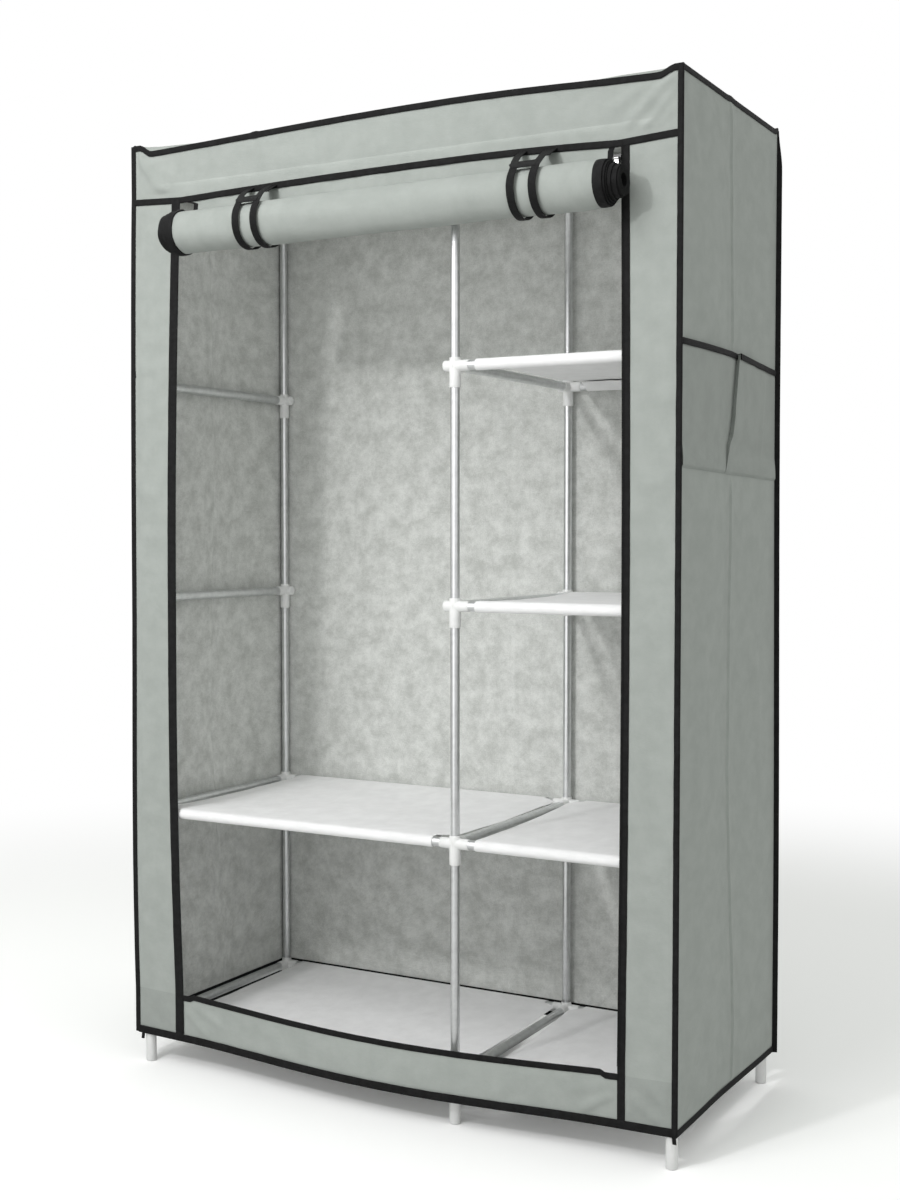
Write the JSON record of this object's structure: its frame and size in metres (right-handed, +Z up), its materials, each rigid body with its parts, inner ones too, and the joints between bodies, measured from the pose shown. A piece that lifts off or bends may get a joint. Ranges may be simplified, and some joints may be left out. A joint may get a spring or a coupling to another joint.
{
  "type": "portable fabric wardrobe",
  "caption": "Free-standing cloth wardrobe: tube frame in socket connectors, shelves beside a hanging bay, taped cover with side pockets and a roll-up door between zips.",
  "frame": {"origin": "on the floor, under the middle of the whole part's box", "axes": "+Z up, the door faces -Y, +X is to the right of someone who faces the door"},
  "size_m": [1.1288, 0.5828, 1.7499],
  "materials": {
    "frame_post": "bare steel tube sections in white moulded plastic connectors",
    "steel_tube": "bright zinc-plated steel tube",
    "shelf_cloth": "white non-woven cloth",
    "cover_cloth": "grey non-woven cloth with a fine dimpled face",
    "seam_tape": "black woven binding tape",
    "zip_metal": "plated zip slider and pull tab"
  },
  "bodies": {
    "wardrobe": {"post_front_left": "frame_post", "post_rear_left": "frame_post", "post_front_centre": "frame_post", "post_rear_centre": "frame_post", "post_front_right": "frame_post", "post_rear_right": "frame_post", "front_tube_left_level_1": "steel_tube", "rear_tube_left_level_1": "steel_tube", "front_tube_left_level_2": "steel_tube", "rear_tube_left_level_2": "steel_tube", "front_tube_left_level_5": "steel_tube", "rear_tube_left_level_5": "steel_tube", "front_tube_right_level_1": "steel_tube", "rear_tube_right_level_1": "steel_tube", "front_tube_right_level_2": "steel_tube", "rear_tube_right_level_2": "steel_tube", "front_tube_right_level_3": "steel_tube", "rear_tube_right_level_3": "steel_tube", "front_tube_right_level_4": "steel_tube", "rear_tube_right_level_4": "steel_tube", "front_tube_right_level_5": "steel_tube", "rear_tube_right_level_5": "steel_tube", "depth_tube_left_level_1": "steel_tube", "depth_tube_left_level_2": "steel_tube", "depth_tube_left_level_3": "steel_tube", "depth_tube_left_level_4": "steel_tube", "depth_tube_left_level_5": "steel_tube", "depth_tube_centre_level_1": "steel_tube", "depth_tube_centre_level_2": "steel_tube", "depth_tube_centre_level_3": "steel_tube", "depth_tube_centre_level_4": "steel_tube", "depth_tube_centre_level_5": "steel_tube", "depth_tube_right_level_1": "steel_tube", "depth_tube_right_level_2": "steel_tube", "depth_tube_right_level_3": "steel_tube", "depth_tube_right_level_4": "steel_tube", "depth_tube_right_level_5": "steel_tube", "hanging_rail": "steel_tube", "shelf_left_level_1": "shelf_cloth", "shelf_left_level_2": "shelf_cloth", "shelf_right_level_1": "shelf_cloth", "shelf_right_level_2": "shelf_cloth", "shelf_right_level_3": "shelf_cloth", "shelf_right_level_4": "shelf_cloth", "cover_top": "cover_cloth", "cover_front": "cover_cloth", "cover_back": "cover_cloth", "cover_side_left": "cover_cloth", "cover_side_right": "cover_cloth", "pocket_left": "cover_cloth", "pocket_right": "cover_cloth", "cover_binding": "seam_tape", "door_curtain": "cover_cloth", "strap_left": "seam_tape", "strap_right": "seam_tape"},
    "door": {"door_roll": "cover_cloth"},
    "slider_right": {"zip_slider_right": "zip_metal"},
    "tab_right": {"pull_tab_right": "zip_metal"},
    "slider_left": {"zip_slider_left": "zip_metal"},
    "tab_left": {"pull_tab_left": "zip_metal"}
  },
  "joints": [
    {"name": "door_drop", "type": "slide", "parent": "wardrobe", "child": "door", "axis": [0, 0, -1], "range_m": [0, 1.39], "deforming": ["door_curtain", "strap_left", "strap_right"]},
    {"name": "zip_right_run", "type": "slide", "parent": "wardrobe", "child": "slider_right", "axis": [0, 0, -1], "range_m": [0, 1.47]},
    {"name": "zip_left_run", "type": "slide", "parent": "wardrobe", "child": "slider_left", "axis": [0, 0, -1], "range_m": [0, 1.47]},
    {"name": "tab_right_swing", "type": "hinge", "parent": "slider_right", "child": "tab_right", "pos_m": [0.441, -0.19852, 1.621], "axis": [-1, 0, 0], "range_deg": [0, 165]},
    {"name": "tab_left_swing", "type": "hinge", "parent": "slider_left", "child": "tab_left", "pos_m": [-0.441, -0.19852, 1.621], "axis": [-1, 0, 0], "range_deg": [0, 165]}
  ]
}
